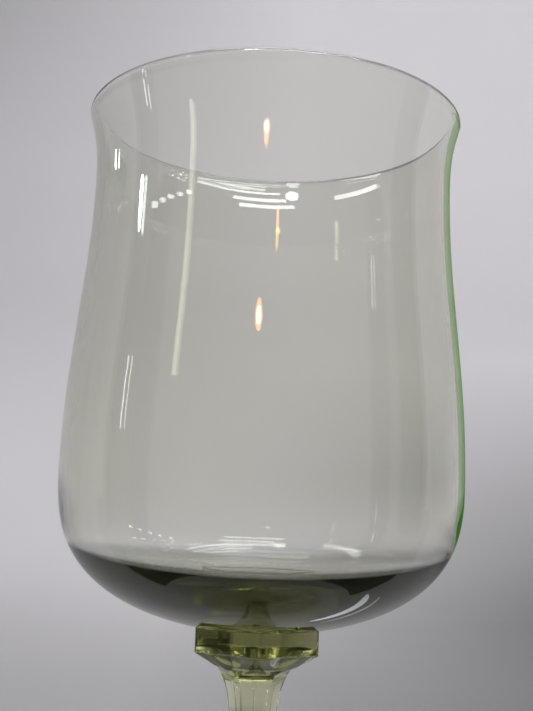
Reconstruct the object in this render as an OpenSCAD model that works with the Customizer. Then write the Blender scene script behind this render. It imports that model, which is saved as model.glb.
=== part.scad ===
// Stemmed wine glass in millimetres, +Z up.
// The origin is the centre of the plane that the foot stands on.
// A blown bowl is fused to the flat top of a pressed six-sided stem,
// and the stem is fused to the flat boss of a round foot.

/* [Bowl] */
// Height of the bowl, from the top of the stem to the rim
bowl_h = 100; // [80:1:120]
// Outside diameter at the widest place
belly_d = 78.2; // [64:0.2:94]
// Height of the widest place above the top of the stem
belly_z = 30; // [24:1:36]
// Outside diameter at the narrow place below the rim
waist_d = 71.2; // [60:0.2:86]
// How far the narrow place lies below the rim
waist_drop = 15; // [10:1:20]
// Outside diameter at the rim
rim_d = 75.6; // [62:0.2:88]
// Thickness of the wall
wall = 1.8; // [1.2:0.1:3]
// Thickness of the glass in the middle of the floor
floor_t = 5; // [3:0.5:8]
// How far the bowl's flat seat reaches past the capital's corners
seat_over = 0.05; // [0.05:0.05:0.6]

/* [Stem] */
// Height of the stem, from the foot's boss to the flat top
stem_h = 72; // [58:1:90]
// Width of the six-sided capital across its flats
capital_w = 23; // [19:0.5:28]
// Depth of the capital's upright faces at their corners
capital_face = 4.4; // [3:0.1:6]
// Depth of the small rounded bevel below the upright faces
bevel_h = 0.3; // [0.2:0.1:1]
// How far the bevel turns inwards
bevel_in = 0.2; // [0.1:0.1:1]
// Depth of the sloping underside, from the bevel to the neck
underside_h = 2.6; // [1.6:0.1:4]
// Width of the neck right below the underside, across its ridges
neck_w = 14.8; // [12:0.2:18]
// Width of the slender shank, across its ridges
shank_w = 8.4; // [7:0.2:11]
// Width of the stem where it meets the foot, across its ridges
root_w = 17; // [14:0.5:21]
// Distance in which the neck narrows towards the shank
neck_sweep = 4.5; // [3.5:0.1:6]
// Distance in which the shank widens towards the foot
root_sweep = 5; // [4:0.1:7]

/* [Scallops] */
// Radius of the hollow scallop under each face of the capital
scallop_r = 5; // [3:0.1:7]
// Depth that a scallop is pressed in, at the bevel's lower edge
scallop_in = 1.3; // [0.6:0.1:1.8]
// Length of a scallop above its deepest place
scallop_up = 0.4; // [0.3:0.1:2]
// Length of a scallop below its deepest place
scallop_down = 2.2; // [1:0.1:3]

/* [Foot] */
// Diameter of the foot
foot_d = 74; // [60:1:90]
// Thickness of the foot at its edge
foot_edge = 2.2; // [1.6:0.1:3.5]
// Height of the boss that carries the stem
foot_h = 6; // [5:0.5:8]
// Width of the ring that touches the table
ring_w = 7; // [4:0.5:10]
// Depth of the hollow inside the ring
hollow = 1; // [0.4:0.1:1.5]

/* [Hidden] */

glass_clear = [0.72, 0.75, 0.68, 0.55];
glass_olive = [0.50, 0.52, 0.32, 0.85];

apothem = cos(30);
belly_r = belly_d / 2;
stem_top = foot_h + stem_h;
seat_r = capital_w / 2 / apothem + seat_over;

// Width of the boss's flat top outside the stem's root
boss_rim = 0.3;
boss_r = root_w / 2 + boss_rim;
// Power of the foot's dome: a higher one gives a flatter plate and a steeper boss
dome_power = 2.2;

// Sharpness of the stem's ridges: a higher power gives crisper edges
ridge_power = 70;
// Steps along each curve, and round one ring of the stem
curve_steps = 24;
ring_points = 60;
$fn = 96;

// Goes smoothly from 0 to 1
function ease(t) = (1 - cos(180 * t)) / 2;

// The bowl's round bottom, as a share of the belly's radius. drop runs from
// 0 at the belly to 1 at the very bottom, and a higher power is squarer.
function round_bottom(drop, power) = sqrt(1 - pow(drop, power));
outer_power = 3;
inner_power = 5;
// Power of the flare above the waist: a higher one flares later and steeper
flare_power = 2.5;

// Where the round bottom would end below the flat seat
seat_drop = pow(1 - pow(seat_r / belly_r, 2), 1 / outer_power);

// Outside radius of the bowl at a height above the stem
function outer_r(z) =
    z < belly_z
        ? belly_r * round_bottom((belly_z - z) / belly_z * seat_drop, outer_power)
    : z < bowl_h - waist_drop
        ? belly_r + (waist_d / 2 - belly_r)
            * ease((z - belly_z) / (bowl_h - waist_drop - belly_z))
    : waist_d / 2 + (rim_d - waist_d) / 2
            * pow((z - bowl_h + waist_drop) / waist_drop, flare_power);

// Inside radius of the bowl: the wall thickens into the floor below the belly
function inner_r(z) =
    z < belly_z
        ? (belly_r - wall)
            * round_bottom((belly_z - z) / (belly_z - floor_t), inner_power)
    : outer_r(z) - wall;

// Depths below the flat top where the bevel and the underside end
edge_z = capital_face + bevel_h;
neck_z = edge_z + underside_h;

// Radius to the ridges of the neck, shank and root
function ridge_r(depth) =
    shank_w / 2
    + (neck_w - shank_w) / 2 * exp(-(depth - neck_z) / neck_sweep)
    + (root_w - shank_w) / 2 * exp(-(stem_h - depth) / root_sweep);

// Power of the underside's slope: 1 is straight, and a higher one is hollow
underside_power = 1.1;

// Distance from the axis to the underside. left runs from 1 at the bevel to
// 0 at the neck, where it goes on in the neck's own slope.
function underside_r(left) =
    let (
        neck = ridge_r(neck_z),
        slope = (neck_w - shank_w) / 2 / neck_sweep * underside_h
    )
    neck + slope * left
        + (capital_w / 2 - bevel_in - neck - slope) * pow(left, underside_power);

// Distance from the axis to the capital's faces, which run out in the ridges
function face_r(depth) =
    depth < capital_face ? capital_w / 2
    : depth < edge_z
        ? capital_w / 2 - bevel_in * (1 - cos(90 * (depth - capital_face) / bevel_h))
    : depth < neck_z ? underside_r((neck_z - depth) / underside_h)
    : ridge_r(depth);

// Distance from the axis to the shank's panels, which start below the
// capital's corners
panel_in = 2.6;
panel_rise = 0.3;
panel_fade = 0.7;
function panel_r(depth) =
    apothem * ridge_r(depth)
    + panel_in * exp((neck_z - panel_rise - depth) / panel_fade);

// Power of the scallop's lengthwise curve: 1 is straight, and 2 is round
scallop_power = 1.2;

// Depth of the scallop at the middle of a face
function scallop_depth(depth) =
    let (
        reach = depth < edge_z ? scallop_up : scallop_down,
        share = (depth - edge_z) / reach
    )
    max(0, scallop_in * (1 - pow(abs(share), scallop_power)));

// The scallop's hollow surface, at an angle from the middle of a face
function scallop(turn, depth) =
    let (
        middle = face_r(depth) + scallop_r - scallop_depth(depth),
        side = middle * sin(turn)
    )
    abs(side) >= scallop_r
        ? capital_w
        : middle * cos(turn) - sqrt(scallop_r * scallop_r - side * side);

// One plane's share in a rounded six-sided section
function plane(turn, dist) = pow(max(0, cos(turn)) / dist, ridge_power);

// Radius of the stem at an angle and a depth below its flat top
function stem_r(angle, depth) =
    let (
        planes = [
            for (k = [0:5])
                plane(angle - 60 * k, face_r(depth))
                + plane(angle - 60 * k - 30, panel_r(depth))
        ],
        total = planes * [for (k = [0:5]) 1],
        section = pow(total, -1 / ridge_power),
        turn = angle - 60 * round(angle / 60)
    )
    min(section, scallop(turn, depth));

// Depths of the stem's rings: close together in the capital, then closer at
// the neck and the root than along the shank
fine_zone = neck_z;
fine_rings = 30;
long_rings = 20;
ring_depths = concat(
    [for (i = [0:fine_rings]) fine_zone * i / fine_rings],
    [for (i = [1:long_rings])
        fine_zone + (stem_h - fine_zone) * ease(i / long_rings)]
);

module bowl() {
    low = [for (i = [0:curve_steps]) pow(i / curve_steps, 2)];
    high = [for (i = [1:curve_steps]) i / curve_steps];
    lip = wall / 2;
    top_z = bowl_h - lip;
    outside = concat(
        [for (t = low) [outer_r(belly_z * t), belly_z * t]],
        [for (t = high)
            let (z = belly_z + (top_z - belly_z) * t) [outer_r(z), z]]
    );
    mouth = outer_r(top_z) - lip;
    edge = [for (a = [15:15:165]) [mouth + lip * cos(a), top_z + lip * sin(a)]];
    inside = concat(
        [for (t = high)
            let (z = top_z - (top_z - belly_z) * (t - high[0])) [inner_r(z), z]],
        [for (i = [curve_steps:-1:0])
            let (z = floor_t + (belly_z - floor_t) * low[i]) [inner_r(z), z]]
    );
    color(glass_clear)
        translate([0, 0, stem_top])
            rotate_extrude()
                polygon(concat([[0, 0]], outside, edge, inside));
}

module stem() {
    rings = len(ring_depths);
    top_centre = rings * ring_points;
    root_centre = top_centre + 1;
    points = concat(
        [for (depth = ring_depths, i = [0:ring_points - 1])
            let (a = 360 * i / ring_points, r = stem_r(a, depth))
                [r * cos(a), r * sin(a), stem_top - depth]],
        [[0, 0, stem_top], [0, 0, foot_h]]
    );
    faces = [
        for (i = [0:ring_points - 1])
            let (
                next = (i + 1) % ring_points,
                last = ring_points * (rings - 1)
            )
            each concat(
                [[top_centre, next, i], [root_centre, last + i, last + next]],
                [for (k = [0:rings - 2])
                    let (above = ring_points * k, below = above + ring_points)
                        [above + i, above + next, below + next, below + i]]
            )
    ];
    color(glass_olive)
        polyhedron(points, faces);
}

module foot() {
    foot_r = foot_d / 2;
    round_r = foot_edge / 2;
    dome_r = foot_r - round_r;
    dome = [
        for (i = [0:curve_steps])
            let (t = i / curve_steps)
                [dome_r + (boss_r - dome_r) * t,
                 foot_edge + (foot_h - foot_edge) * pow(t, dome_power)]
    ];
    edge = [
        for (a = [-75:15:75])
            [dome_r + round_r * cos(a), round_r + round_r * sin(a)]
    ];
    hollow_r = dome_r - ring_w;
    under = [
        for (i = [0:curve_steps])
            let (t = i / curve_steps) [hollow_r * t, hollow * ease(1 - t)]
    ];
    color(glass_olive)
        rotate_extrude()
            polygon(concat(under, [[dome_r, 0]], edge, dome, [[0, foot_h]]));
}

bowl();
stem();
foot();
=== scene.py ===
"""A stemmed wine glass of pale smoky green glass: a blown bowl on a pressed six-sided stem and a round foot."""

import math

import bpy
from mathutils import Matrix, Vector


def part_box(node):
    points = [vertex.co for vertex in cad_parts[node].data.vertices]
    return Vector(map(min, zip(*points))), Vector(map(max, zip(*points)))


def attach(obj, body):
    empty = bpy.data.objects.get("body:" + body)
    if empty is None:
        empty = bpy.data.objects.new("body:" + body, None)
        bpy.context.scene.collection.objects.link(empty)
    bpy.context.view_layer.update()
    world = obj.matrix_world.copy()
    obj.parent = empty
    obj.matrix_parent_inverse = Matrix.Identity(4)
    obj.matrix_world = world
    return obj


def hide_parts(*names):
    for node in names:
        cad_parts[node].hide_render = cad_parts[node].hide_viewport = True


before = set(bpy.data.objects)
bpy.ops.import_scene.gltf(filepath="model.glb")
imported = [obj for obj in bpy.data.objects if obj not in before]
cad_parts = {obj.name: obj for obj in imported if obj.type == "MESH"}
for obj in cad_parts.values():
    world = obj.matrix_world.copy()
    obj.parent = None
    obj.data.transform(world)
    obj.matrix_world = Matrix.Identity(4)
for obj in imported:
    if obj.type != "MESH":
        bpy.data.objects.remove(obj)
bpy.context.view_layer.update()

MM = 0.001

# ---------------------------------------------------------------- sizes, in mm
foot_low, foot_high = (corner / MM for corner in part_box("foot"))
stem_low, stem_high = (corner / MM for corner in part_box("stem"))
bowl_low, bowl_high = (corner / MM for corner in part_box("bowl"))

BOWL_H = bowl_high.z - bowl_low.z
BELLY_R = bowl_high.x
BELLY_Z = 30.0
WAIST_R = 35.6
WAIST_DROP = 15.0
RIM_R = 37.8
WALL = 1.8
FLOOR_T = 5.0
SEAT_OVER = 0.05

STEM_TOP = stem_high.z
STEM_H = stem_high.z - stem_low.z
CAPITAL_R = stem_high.x
CAPITAL_FACE = 4.4
BEVEL_H = 0.3
BEVEL_IN = 0.2
UNDERSIDE_H = 2.6
NECK_R = 7.4
SHANK_R = 4.2
ROOT_R = 8.5
NECK_SWEEP = 4.5
ROOT_SWEEP = 5.0
PANEL_IN = 2.6
PANEL_RISE = 0.3
PANEL_FADE = 0.7

SCALLOP_R = 5.0
SCALLOP_IN = 1.3
SCALLOP_UP = 0.4
SCALLOP_DOWN = 2.2
SCALLOP_CLEAR = 0.6
SCALLOP_EDGE = 0.12

FOOT_R = foot_high.x
FOOT_H = foot_high.z
FOOT_EDGE = 2.2
RING_W = 7.0
HOLLOW = 1.0
BOSS_RIM = 0.3

# A hair's overlap at each fused seam, so that light crosses it as it crosses one glass
SEAM = 0.02

# How sharply each curve bends
OUTER_POWER = 3
INNER_POWER = 5
FLARE_POWER = 2.5
UNDERSIDE_POWER = 1.1
SCALLOP_POWER = 1.2
RIDGE_POWER = 70
DOME_POWER = 2.2

# Steps round each piece, and along it
LATHE_TURNS = 256
STEM_TURNS = 240
BOWL_STEPS = 56
LIP_STEPS = 16
SEAT_STEPS = 8
CAPITAL_ZONE = 12.0
CAPITAL_RINGS = 96
SHANK_RINGS = 100
FOOT_STEPS = 48
EDGE_STEPS = 16


# ---------------------------------------------------------------- meshes
def round_points(count, radius_at, z):
    """Ring of points in metres round the axis. radius_at takes an angle and gives mm."""
    ring = []
    for i in range(count):
        a = 2 * math.pi * i / count
        r = radius_at(a)
        ring.append((r * math.cos(a) * MM, r * math.sin(a) * MM, z * MM))
    return ring


def make_object(name, points, faces, crease=40):
    mesh = bpy.data.meshes.new(name)
    mesh.from_pydata([tuple(p) for p in points], [], faces)
    mesh.validate()
    obj = bpy.data.objects.new(name, mesh)
    bpy.context.scene.collection.objects.link(obj)
    mesh.shade_smooth()
    mesh.set_sharp_from_angle(angle=math.radians(crease))
    return obj


def ring_mesh(name, rings, low_z, high_z, crease=40):
    """Closed mesh from rings of points, with a pole on the axis at either end, first ring to last."""
    count = len(rings[0])
    points = [p for ring in rings for p in ring] + [(0, 0, low_z * MM), (0, 0, high_z * MM)]
    first, last = len(points) - 2, len(points) - 1
    end = count * (len(rings) - 1)
    faces = []
    for i in range(count):
        j = (i + 1) % count
        faces.append((first, j, i))
        faces.append((last, end + i, end + j))
        for k in range(len(rings) - 1):
            a, b = k * count, (k + 1) * count
            faces.append((a + i, a + j, b + j, b + i))
    return make_object(name, points, faces, crease)


def lathe(name, outline):
    """Turns an outline of (radius, height) round the axis. Its ends lie on the axis."""
    rings = [round_points(LATHE_TURNS, lambda a: r, z) for r, z in outline[1:-1]]
    return ring_mesh(name, rings, outline[0][1], outline[-1][1])


def ease(t):
    return (1 - math.cos(math.pi * t)) / 2


# ---------------------------------------------------------------- the bowl
def round_bottom(drop, power):
    """Round bottom as a share of the belly's radius. drop runs from 0 at the belly to 1 at the bottom."""
    return math.sqrt(max(0.0, 1 - drop**power))


# The bowl's seat just covers the capital's six corners
SEAT_R = CAPITAL_R / math.cos(math.pi / 6) + SEAT_OVER
SEAT_DROP = (1 - (SEAT_R / BELLY_R) ** 2) ** (1 / OUTER_POWER)


def outer_r(z):
    """Outside radius of the bowl at a height above the stem."""
    if z < BELLY_Z:
        return BELLY_R * round_bottom((BELLY_Z - z) / BELLY_Z * SEAT_DROP, OUTER_POWER)
    waist_z = BOWL_H - WAIST_DROP
    if z < waist_z:
        return BELLY_R + (WAIST_R - BELLY_R) * ease((z - BELLY_Z) / (waist_z - BELLY_Z))
    return WAIST_R + (RIM_R - WAIST_R) * ((z - waist_z) / WAIST_DROP) ** FLARE_POWER


def inner_r(z):
    """Inside radius of the bowl, where the wall thickens into the floor."""
    if z < BELLY_Z:
        return (BELLY_R - WALL) * round_bottom((BELLY_Z - z) / (BELLY_Z - FLOOR_T), INNER_POWER)
    return outer_r(z) - WALL


def bowl_piece():
    lip = WALL / 2
    top = BOWL_H - lip
    low = [(i / BOWL_STEPS) ** 2 for i in range(BOWL_STEPS + 1)]
    high = [i / BOWL_STEPS for i in range(1, BOWL_STEPS + 1)]
    outline = [(0, 0)]
    outline += [(outer_r(0) * k / SEAT_STEPS, 0) for k in range(1, SEAT_STEPS)]
    outline += [(outer_r(BELLY_Z * t), BELLY_Z * t) for t in low]
    outline += [(outer_r(z), z) for z in (BELLY_Z + (top - BELLY_Z) * t for t in high)]
    mouth = outer_r(top) - lip
    for k in range(1, LIP_STEPS):
        a = math.pi * k / LIP_STEPS
        outline.append((mouth + lip * math.cos(a), top + lip * math.sin(a)))
    for t in [1.0] + high[-2::-1]:
        z = BELLY_Z + (top - BELLY_Z) * t
        outline.append((inner_r(z), z))
    for t in low[:0:-1]:
        z = FLOOR_T + (BELLY_Z - FLOOR_T) * t
        outline.append((inner_r(z), z))
    outline.append((0, FLOOR_T))
    return lathe("bowl_glass", [(r, z + bowl_low.z) for r, z in outline])


# ---------------------------------------------------------------- the stem
# Depths run down from the stem's top
EDGE_Z = CAPITAL_FACE + BEVEL_H
NECK_Z = EDGE_Z + UNDERSIDE_H
SIXTH = math.pi / 3


def ridge_r(depth):
    """How far the six ridges of the neck, shank and root reach."""
    neck = (NECK_R - SHANK_R) * math.exp(-(depth - NECK_Z) / NECK_SWEEP)
    root = (ROOT_R - SHANK_R) * math.exp(-(STEM_H - depth) / ROOT_SWEEP)
    return SHANK_R + neck + root


def face_r(depth):
    """How far the capital's six faces lie from the axis, and the ridges below them."""
    if depth < CAPITAL_FACE:
        return CAPITAL_R
    if depth < EDGE_Z:
        turn = math.pi / 2 * (depth - CAPITAL_FACE) / BEVEL_H
        return CAPITAL_R - BEVEL_IN * (1 - math.cos(turn))
    if depth < NECK_Z:
        left = (NECK_Z - depth) / UNDERSIDE_H
        neck = ridge_r(NECK_Z)
        slope = (NECK_R - SHANK_R) / NECK_SWEEP * UNDERSIDE_H
        return neck + slope * left + (CAPITAL_R - BEVEL_IN - neck - slope) * left**UNDERSIDE_POWER
    return ridge_r(depth)


def panel_r(depth):
    """How far the shank's six flats lie from the axis. They run out under the capital."""
    run_out = PANEL_IN * math.exp((NECK_Z - PANEL_RISE - depth) / PANEL_FADE)
    return math.cos(SIXTH / 2) * ridge_r(depth) + run_out


def scallop(turn, depth):
    """Reach of the round hollow under a face, at an angle off the face's middle, or None beside it."""
    reach = SCALLOP_UP if depth < EDGE_Z else SCALLOP_DOWN
    dip = SCALLOP_IN * (1 - abs((depth - EDGE_Z) / reach) ** SCALLOP_POWER)
    if dip <= -SCALLOP_CLEAR:
        return None
    middle = face_r(depth) + SCALLOP_R - dip
    side = middle * math.sin(turn)
    if abs(side) >= SCALLOP_R:
        return None
    return middle * math.cos(turn) - math.sqrt(SCALLOP_R**2 - side**2)


def soft_min(a, b, width):
    """The lower of two lengths, with the corner between them rounded over a width."""
    h = max(width - abs(a - b), 0.0) / width
    return min(a, b) - h * h * width / 4


def stem_r(angle, depth):
    """Radius of the stem: six faces and six flats, their corners a little rounded, less the scallops."""
    total = 0.0
    for shift, reach in ((0.0, face_r(depth)), (0.5, panel_r(depth))):
        for k in range(6):
            c = math.cos(angle - (k + shift) * SIXTH)
            if c > 0:
                total += (c / reach) ** RIDGE_POWER
    section = total ** (-1 / RIDGE_POWER)
    hollow = scallop(angle - SIXTH * round(angle / SIXTH), depth)
    return section if hollow is None else soft_min(section, hollow, SCALLOP_EDGE)


def stem_piece():
    depths = [CAPITAL_ZONE * i / CAPITAL_RINGS for i in range(CAPITAL_RINGS + 1)]
    depths += [CAPITAL_ZONE + (STEM_H - CAPITAL_ZONE) * i / SHANK_RINGS for i in range(1, SHANK_RINGS + 1)]
    rings = []
    for depth in reversed(depths):
        z = STEM_TOP - depth + SEAM * (1 - 2 * depth / STEM_H)
        rings.append(round_points(STEM_TURNS, lambda a: stem_r(a, depth), z))
    return ring_mesh("stem_glass", rings, stem_low.z - SEAM, STEM_TOP + SEAM, 50)


# ---------------------------------------------------------------- the foot
def foot_piece():
    round_r = FOOT_EDGE / 2
    dome_r = FOOT_R - round_r
    boss_r = ROOT_R + BOSS_RIM
    hollow_r = dome_r - RING_W
    steps = [i / FOOT_STEPS for i in range(1, FOOT_STEPS + 1)]
    outline = [(0, HOLLOW)]
    outline += [(hollow_r * t, HOLLOW * ease(1 - t)) for t in steps]
    outline += [(dome_r - RING_W / 2, 0)]
    for k in range(EDGE_STEPS + 1):
        a = math.pi * (k / EDGE_STEPS - 0.5)
        outline.append((dome_r + round_r * math.cos(a), round_r + round_r * math.sin(a)))
    dome_h = FOOT_H - FOOT_EDGE
    outline += [(dome_r + (boss_r - dome_r) * t, FOOT_EDGE + dome_h * t**DOME_POWER) for t in steps]
    outline += [(boss_r / 2, FOOT_H), (0, FOOT_H)]
    return lathe("foot_glass", outline)


# ---------------------------------------------------------------- materials
class Wiring:
    """A new material with one shader, and short ways to wire nodes to it."""

    def __init__(self, name, shader):
        self.material = bpy.data.materials.new(name)
        self.material.use_nodes = True
        self.nodes = self.material.node_tree.nodes
        self.nodes.clear()
        self.link = self.material.node_tree.links.new
        self.out = self.nodes.new("ShaderNodeOutputMaterial")
        self.skin = self.nodes.new(shader)
        self.link(self.skin.outputs[0], self.out.inputs["Surface"])

    def place(self):
        """Adds the object's own coordinates, and gives x, y and z."""
        self.where = self.nodes.new("ShaderNodeTexCoord").outputs["Object"]
        axes = self.nodes.new("ShaderNodeSeparateXYZ")
        self.link(self.where, axes.inputs["Vector"])
        return axes.outputs

    def noise(self, scale, detail=2.0, stretch=(1, 1, 1)):
        mapping = self.nodes.new("ShaderNodeMapping")
        mapping.inputs["Scale"].default_value = stretch
        self.link(self.where, mapping.inputs["Vector"])
        field = self.nodes.new("ShaderNodeTexNoise")
        field.inputs["Scale"].default_value = scale
        field.inputs["Detail"].default_value = detail
        self.link(mapping.outputs["Vector"], field.inputs["Vector"])
        return field.outputs["Fac"]

    def remap(self, value, low, high, to_low=0.0, to_high=1.0):
        """Moves a value from one range to another, and holds it at the ends."""
        node = self.nodes.new("ShaderNodeMapRange")
        for key, number in (("From Min", low), ("From Max", high), ("To Min", to_low), ("To Max", to_high)):
            node.inputs[key].default_value = number
        self.link(value, node.inputs["Value"])
        return node.outputs["Result"]

    def math(self, operation, a, b=0.0):
        node = self.nodes.new("ShaderNodeMath")
        node.operation = operation
        for socket, value in zip(node.inputs, (a, b)):
            if isinstance(value, (int, float)):
                socket.default_value = value
            else:
                self.link(value, socket)
        return node.outputs["Value"]

    def times(self, a, b):
        return self.math("MULTIPLY", a, b)

    def plus(self, a, b):
        return self.math("ADD", a, b)


GLASS_IOR = 1.51
DROP_H = 0.003
DROP_ROUGH = 0.10
MOULD_LINE_H = 0.05
MOULD_LINE_SWING = 0.12
SMUDGE_ROUGH = 0.035
SCUFF_ROUGH = 0.30
FAINT_TINT = (0.97, 0.975, 0.955)


def glass(name, absorb, waves, tool_marks, seam=False, worn_foot=False):
    """Clear glass.

    absorb is what one millimetre takes off red, green and blue. waves is the height in mm of
    the slow swells that blowing or pressing leaves, and tool_marks that of the fine texture.
    """
    wire = Wiring(name, "ShaderNodeBsdfPrincipled")
    wire.skin.inputs["Transmission Weight"].default_value = 1.0
    wire.skin.inputs["IOR"].default_value = GLASS_IOR
    body = wire.nodes.new("ShaderNodeVolumeAbsorption")
    most = max(absorb)
    body.inputs["Color"].default_value = (*[1 - a / most for a in absorb], 1)
    body.inputs["Density"].default_value = most / MM
    wire.link(body.outputs["Volume"], wire.out.inputs["Volume"])
    x, _, z = wire.place()

    # Heights in mm: slow swells, fine texture and dried drops
    swells = wire.times(wire.noise(55.0), waves)
    texture = wire.times(wire.noise(420.0, 3.0, (1, 1, 0.45)), tool_marks)
    height = wire.plus(swells, texture)
    drops = wire.nodes.new("ShaderNodeTexVoronoi")
    drops.inputs["Scale"].default_value = 140.0
    wire.link(wire.where, drops.inputs["Vector"])
    few = wire.remap(wire.noise(45.0, 1.0), 0.56, 0.62)
    drop = wire.times(wire.remap(drops.outputs["Distance"], 0.07, 0.11, 1.0, 0.0), few)
    height = wire.plus(height, wire.times(drop, DROP_H))
    if seam:
        # The join of the two halves of the mould, down the front and back ridges. It isn't ruler-straight
        swing = wire.remap(wire.noise(90.0), 0.0, 1.0, -MOULD_LINE_SWING * MM, MOULD_LINE_SWING * MM)
        off = wire.math("ABSOLUTE", wire.plus(x, swing))
        line = wire.remap(off, 0.06 * MM, 0.22 * MM, 1.0, 0.0)
        height = wire.plus(height, wire.times(line, MOULD_LINE_H))
    bump = wire.nodes.new("ShaderNodeBump")
    bump.inputs["Strength"].default_value = 1.0
    bump.inputs["Distance"].default_value = MM
    wire.link(height, bump.inputs["Height"])
    wire.link(bump.outputs["Normal"], wire.skin.inputs["Normal"])

    # Finger marks and the drops are a little less clear, and a foot's rest ring is scuffed
    smudge = wire.remap(wire.noise(26.0, 4.0), 0.57, 0.72, 0.0, SMUDGE_ROUGH)
    rough = wire.plus(smudge, wire.times(drop, DROP_ROUGH))
    if worn_foot:
        scuff = wire.remap(z, 0.1 * MM, 0.5 * MM, SCUFF_ROUGH, 0.0)
        rough = wire.plus(rough, wire.times(scuff, wire.noise(900.0, 3.0, (1, 4, 1))))
    wire.link(rough, wire.skin.inputs["Roughness"])
    tint = wire.nodes.new("ShaderNodeMix")
    tint.data_type = "RGBA"
    tint.inputs[6].default_value = (1, 1, 1, 1)
    tint.inputs[7].default_value = (*FAINT_TINT, 1)
    wire.link(wire.remap(wire.noise(18.0, 3.0), 0.35, 0.70), tint.inputs[0])
    wire.link(tint.outputs[2], wire.skin.inputs["Base Color"])
    return wire.material


SMOKY = (0.060, 0.058, 0.085)
OLIVE = (0.056, 0.055, 0.094)

for piece, node, material in (
    (bowl_piece(), "bowl", glass("smoky_glass", SMOKY, 0.020, 0.0008)),
    (stem_piece(), "stem", glass("olive_glass", OLIVE, 0.030, 0.0020, seam=True)),
    (foot_piece(), "foot", glass("olive_foot_glass", OLIVE, 0.030, 0.0020, worn_foot=True)),
):
    piece.data.materials.append(material)
    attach(piece, "root")
    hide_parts(node)

# ---------------------------------------------------------------- the studio
PLASTER = (0.775, 0.760, 0.770)
PLASTER_ROUGH = 0.9
PLASTER_TONE = 1.06

FLOOR_R = 900.0
FLOOR_Z = -0.1
BEND_R = 400.0
BEND_STEPS = 12
WALL_H = 2200.0
COVE_TURNS = 96


def plaster(name, colour):
    """Painted wall and floor, with painted shade in their colour: darker at the upper left and lower right of
    the wall behind, low down and high up, and a painted shadow on the floor round the glass. Places are in
    metres.
    """
    wire = Wiring(name, "ShaderNodeBsdfPrincipled")
    wire.skin.inputs["Roughness"].default_value = PLASTER_ROUGH
    x, y, z = wire.place()
    # Painted shade on the wall behind: darker at the upper left and at the lower right
    behind = wire.remap(y, 0.02, 0.36)
    painted_shade_high_left = wire.times(wire.remap(x, 0.10, -0.40), wire.remap(z, 0.15, 0.85, -0.12, -0.46))
    painted_shade_low_right = wire.times(wire.remap(x, -0.05, 0.42), wire.remap(z, 0.0, 0.32, -0.62, 0.0))
    painted_shade_low_right = wire.times(painted_shade_low_right, wire.remap(x, 0.48, 0.75, 1.0, 0.15))
    wall_painted_shade = wire.times(wire.plus(painted_shade_high_left, painted_shade_low_right), behind)
    # Painted shadow on the floor round the glass, and painted shade low down and high up
    radius = wire.math("SQRT", wire.plus(wire.times(x, x), wire.times(y, y)))
    painted_shadow_near_glass = wire.remap(radius, 0.35, 1.10, -0.34, 0.0)
    painted_shade_low_and_high = wire.plus(wire.remap(z, 0.0, 0.45, -0.20, 0.0), wire.remap(z, 0.60, 0.90, 0.0, -0.12))
    painted_shadow_and_height_shade = wire.times(wire.plus(painted_shadow_near_glass, painted_shade_low_and_high), wire.remap(y, 0.02, 0.36, 0.95, 1.0))
    brightness_with_painted_shade = wire.plus(wire.plus(wall_painted_shade, painted_shadow_and_height_shade), PLASTER_TONE)
    brightness_with_painted_shade = wire.plus(brightness_with_painted_shade, wire.remap(wire.noise(2.5), 0.3, 0.7, -0.015, 0.015))
    paint = wire.nodes.new("ShaderNodeVectorMath")
    paint.operation = "SCALE"
    paint.inputs[0].default_value = colour
    wire.link(brightness_with_painted_shade, paint.inputs["Scale"])
    wire.link(paint.outputs["Vector"], wire.skin.inputs["Base Color"])
    return wire.material


def cove():
    """A round pale floor that curves up into a wall, open at the top."""
    outline = [(r, FLOOR_Z) for r in (200, 500, FLOOR_R)]
    for k in range(1, BEND_STEPS + 1):
        a = math.pi / 2 * k / BEND_STEPS
        outline.append((FLOOR_R + BEND_R * math.sin(a), FLOOR_Z + BEND_R * (1 - math.cos(a))))
    outline.append((FLOOR_R + BEND_R, WALL_H))
    points, faces = [(0, 0, FLOOR_Z * MM)], []
    for r, z in outline:
        points += round_points(COVE_TURNS, lambda a: r, z)
    for i in range(COVE_TURNS):
        j = (i + 1) % COVE_TURNS
        faces.append((0, 1 + i, 1 + j))
        for k in range(len(outline) - 1):
            a, b = 1 + k * COVE_TURNS, 1 + (k + 1) * COVE_TURNS
            faces.append((a + i, b + i, b + j, a + j))
    obj = make_object("studio_cove", points, faces, 180)
    obj.data.materials.append(plaster("pale_plaster_with_painted_shade", PLASTER))


cove()

world = bpy.data.worlds.new("studio_air")
bpy.context.scene.world = world
world.use_nodes = True
sky = world.node_tree.nodes["Background"]
sky.inputs["Color"].default_value = (0.93, 0.95, 1.0, 1)
sky.inputs["Strength"].default_value = 1.09

softbox_light = bpy.data.lights.new("top_softbox", "AREA")
softbox_light.shape = "RECTANGLE"
softbox_light.size, softbox_light.size_y = 1.2, 1.2
softbox_light.energy = 12
softbox = bpy.data.objects.new("top_softbox", softbox_light)
bpy.context.scene.collection.objects.link(softbox)
softbox.location = (0.1, 0.2, 1.9)
softbox.rotation_euler = (Vector((0, 0, 0.1)) - softbox.location).to_track_quat("-Z", "Y").to_euler()


# ---------------------------------------------------------------- what the glass mirrors
CARD_STEPS = 12
MAT_STEPS = 16
MAT_Z = 1.0


def matt(name, grey):
    wire = Wiring(name, "ShaderNodeBsdfPrincipled")
    wire.skin.inputs["Base Color"].default_value = (grey, grey, grey, 1)
    wire.skin.inputs["Roughness"].default_value = 0.9
    return wire.material


def glow(name, colour, strength):
    wire = Wiring(name, "ShaderNodeEmission")
    wire.skin.inputs["Color"].default_value = (*colour, 1)
    wire.skin.inputs["Strength"].default_value = strength
    return wire.material


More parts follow.
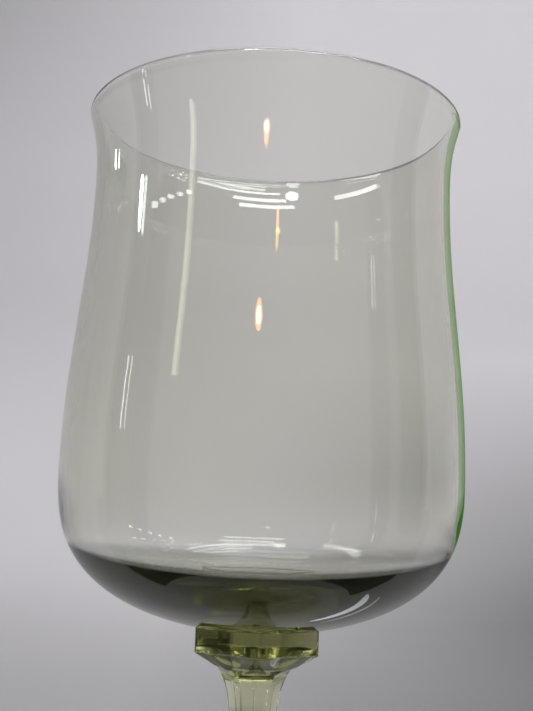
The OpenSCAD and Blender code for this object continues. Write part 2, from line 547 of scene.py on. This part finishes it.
def aim(azimuth, lift, reach):
    """Point seen from the middle of the bowl. Azimuth 0 is +Y, away from the camera, and 90 is +X."""
    a, e = math.radians(azimuth), math.radians(lift)
    middle = Vector((0, 0, (bowl_low.z + bowl_high.z) / 2 * MM))
    return middle + reach * Vector((math.sin(a) * math.cos(e), math.cos(a) * math.cos(e), math.sin(e)))


def reflections_only(obj, through):
    """Hides a piece of the studio from all rays but mirrored ones, and those sent on through glass if asked."""
    obj.visible_camera = False
    obj.visible_diffuse = False
    obj.visible_shadow = False
    obj.visible_volume_scatter = False
    obj.visible_transmission = through


def card(name, middle, size, reach, material, through=True, round_card=False):
    """Card round the glass. middle and size are (azimuth, lift) in degrees, and reach is in metres."""
    points, faces = [], []
    for i in range(CARD_STEPS + 1):
        for j in range(CARD_STEPS + 1):
            u, v = 2 * i / CARD_STEPS - 1, 2 * j / CARD_STEPS - 1
            if round_card:
                u, v = u * math.sqrt(1 - v * v / 2), v * math.sqrt(1 - u * u / 2)
            points.append(aim(middle[0] + u * size[0] / 2, middle[1] + v * size[1] / 2, reach))
    for i in range(CARD_STEPS):
        for j in range(CARD_STEPS):
            a = i * (CARD_STEPS + 1) + j
            faces.append((a, a + 1, a + CARD_STEPS + 2, a + CARD_STEPS + 1))
    obj = make_object(name, points, faces, 180)
    obj.data.materials.append(material)
    reflections_only(obj, through)


def floor_mat(name, azimuths, radii, material):
    """Sector just above the floor, shown to mirrored rays only."""
    points, faces = [], []
    for i in range(MAT_STEPS + 1):
        a = math.radians(azimuths[0] + (azimuths[1] - azimuths[0]) * i / MAT_STEPS)
        for r in radii:
            points.append((r * math.sin(a), r * math.cos(a), MAT_Z * MM))
        if i < MAT_STEPS:
            faces.append((2 * i, 2 * i + 1, 2 * i + 3, 2 * i + 2))
    obj = make_object(name, points, faces, 180)
    obj.data.materials.append(material)
    reflections_only(obj, False)


# The dark cards hang behind the highlight cards, and a second highlight card for the same lamp hangs before the
# first
FELT_REACH = 0.95
LIGHT_REACH = 0.85
FRONT_REACH = 0.84
BELOW_REACH = 0.130

# Dark matt cards seen only in the glass: painted dark reflections
felt = matt("dark_painted_reflection", 0.05)
grey_painted_reflection = matt("grey_painted_reflection", 0.14)
# Glowing cards that light nothing and are seen only in the glass: painted highlights and painted reflections
green = glow("green_painted_reflection", (0.08, 0.26, 0.04), 1.0)
warm = glow("bulb_painted_highlight", (1.0, 0.80, 0.55), 50)
amber = glow("shade_painted_highlight", (1.0, 0.50, 0.16), 9)
cool = glow("lamp_painted_highlight", (0.95, 0.97, 1.0), 26)
bright = glow("window_painted_highlight", (0.93, 0.97, 1.0), 110)
soft = glow("soft_glow", (0.97, 0.98, 1.0), 9)
tube = glow("tube_painted_highlight", (1.0, 0.95, 0.72), 4.6)
low_glow = glow("right_glow", (0.88, 0.94, 1.0), 2.4)
low_edge_glow = glow("right_soft_glow", (0.88, 0.94, 1.0), 1.2)

# Painted dark reflections, seen only in the glass: dark cards for the dark half of the room behind the camera
# and the dim sides that edge the bowl, and a dark sheet just above the floor
card("dark_front", (180, 25), (190, 74), FELT_REACH, felt, through=False)
card("dark_right", (93, 14), (18, 76), FELT_REACH + 0.02, grey_painted_reflection)
card("dark_left", (268, 14), (16, 76), FELT_REACH + 0.02, grey_painted_reflection)
floor_mat("dark_mat", (80, 280), (0.06, 0.94), felt)
# A glowing green card seen only in mirrored rays: a painted green reflection at the right edge of the bowl
card("green_side_painted_reflection", (33, 10), (24, 40), 0.90, green, through=False)

# Painted highlights of a bulb in its shade, from glowing cards seen only in the glass
card("bulb", (187.8, 21.0), (2.2, 1.6), FRONT_REACH, warm, round_card=True)
card("shade", (187.8, 21.0), (4.0, 3.0), LIGHT_REACH, amber, round_card=True)
card("small_bulb", (179, 24.9), (1.6, 0.3), LIGHT_REACH, amber, round_card=True)

# Painted highlights of lamps and tubes to the left, from glowing cards seen only in the glass
card("lamp", (270, 21.75), (2.6, 0.35), LIGHT_REACH, bright, round_card=True)
card("side_lamp", (299, 20.7), (2.0, 0.25), LIGHT_REACH, cool, round_card=True)
for k in range(3):
    card(f"tube_{k}", (233.4, 18.9 + 0.8 * k), (2.2, 11.6 - 1.6 * k), 0.86 - 0.01 * k, tube)
card("side_tube", (264.5, 9.5), (0.9, 9.0), LIGHT_REACH, soft)

# Painted highlights of the window and the ceiling lights, which the rim and the bowl's floor mirror: glowing
# cards seen only in the glass
card("window", (199, 46.5), (11, 9), LIGHT_REACH, bright, round_card=True)
for k in range(3):
    card(f"ceiling_{k}", (152 - 6 * k, 48.0 + 4.0 * k), (74 - 14 * k, 1.6), LIGHT_REACH, cool)
for k in range(9):
    card(f"spot_{k}", (91 + 6 * (k % 3), 44 + 3 * (k // 3)), (2.4, 1.2), FRONT_REACH, cool, round_card=True)
card("right_ceiling", (255, 41), (40, 3.4), LIGHT_REACH, soft)
for k in range(5):
    card(f"low_spot_{k}", (84 + 7 * k, 23 + 3.6 * k), (4.0, 3.0), FRONT_REACH, cool, round_card=True)
for k in range(2):
    card(f"middle_tube_{k}", (178 - 6 * k, 36.5 + 5.5 * k), (44, 2.6), FRONT_REACH, cool)

# A painted pale sheen from below, under the right of the bowl: glowing cards seen only in mirrored rays
card("right_low_painted_sheen", (50, -60), (52, 3.0), BELOW_REACH, low_glow, through=False, round_card=True)
card("right_low_edge_painted_sheen", (44, -55), (40, 1.2), BELOW_REACH, low_edge_glow, through=False, round_card=True)

# ---------------------------------------------------------------- the camera
# Distances in mm and angles in degrees. TURN swings it round the glass, and LEAN rolls it
LENS = 52.2
DISTANCE = 203.0
HEIGHT_OVER_STEM = 21.9
TILT_UP = 8.52
LEAN = 2.21
TURN = -2.6

camera_data = bpy.data.cameras.new("camera")
camera_data.lens = LENS
camera_data.clip_start = 0.01
camera = bpy.data.objects.new("camera", camera_data)
bpy.context.scene.collection.objects.link(camera)
turn = math.radians(TURN)
camera.location = (
    DISTANCE * math.sin(turn) * MM,
    -DISTANCE * math.cos(turn) * MM,
    (STEM_TOP + HEIGHT_OVER_STEM) * MM,
)
camera.rotation_euler = (
    Matrix.Rotation(turn, 3, "Z")
    @ Matrix.Rotation(math.radians(90 + TILT_UP), 3, "X")
    @ Matrix.Rotation(math.radians(LEAN), 3, "Z")
).to_euler()
bpy.context.scene.camera = camera

bpy.context.scene.view_settings.view_transform = "Standard"
# Light crosses and mirrors inside many glass surfaces on its way through the bowl and stem
bpy.context.scene.cycles.max_bounces = 32
bpy.context.scene.cycles.transmission_bounces = 32
bpy.context.scene.cycles.glossy_bounces = 16
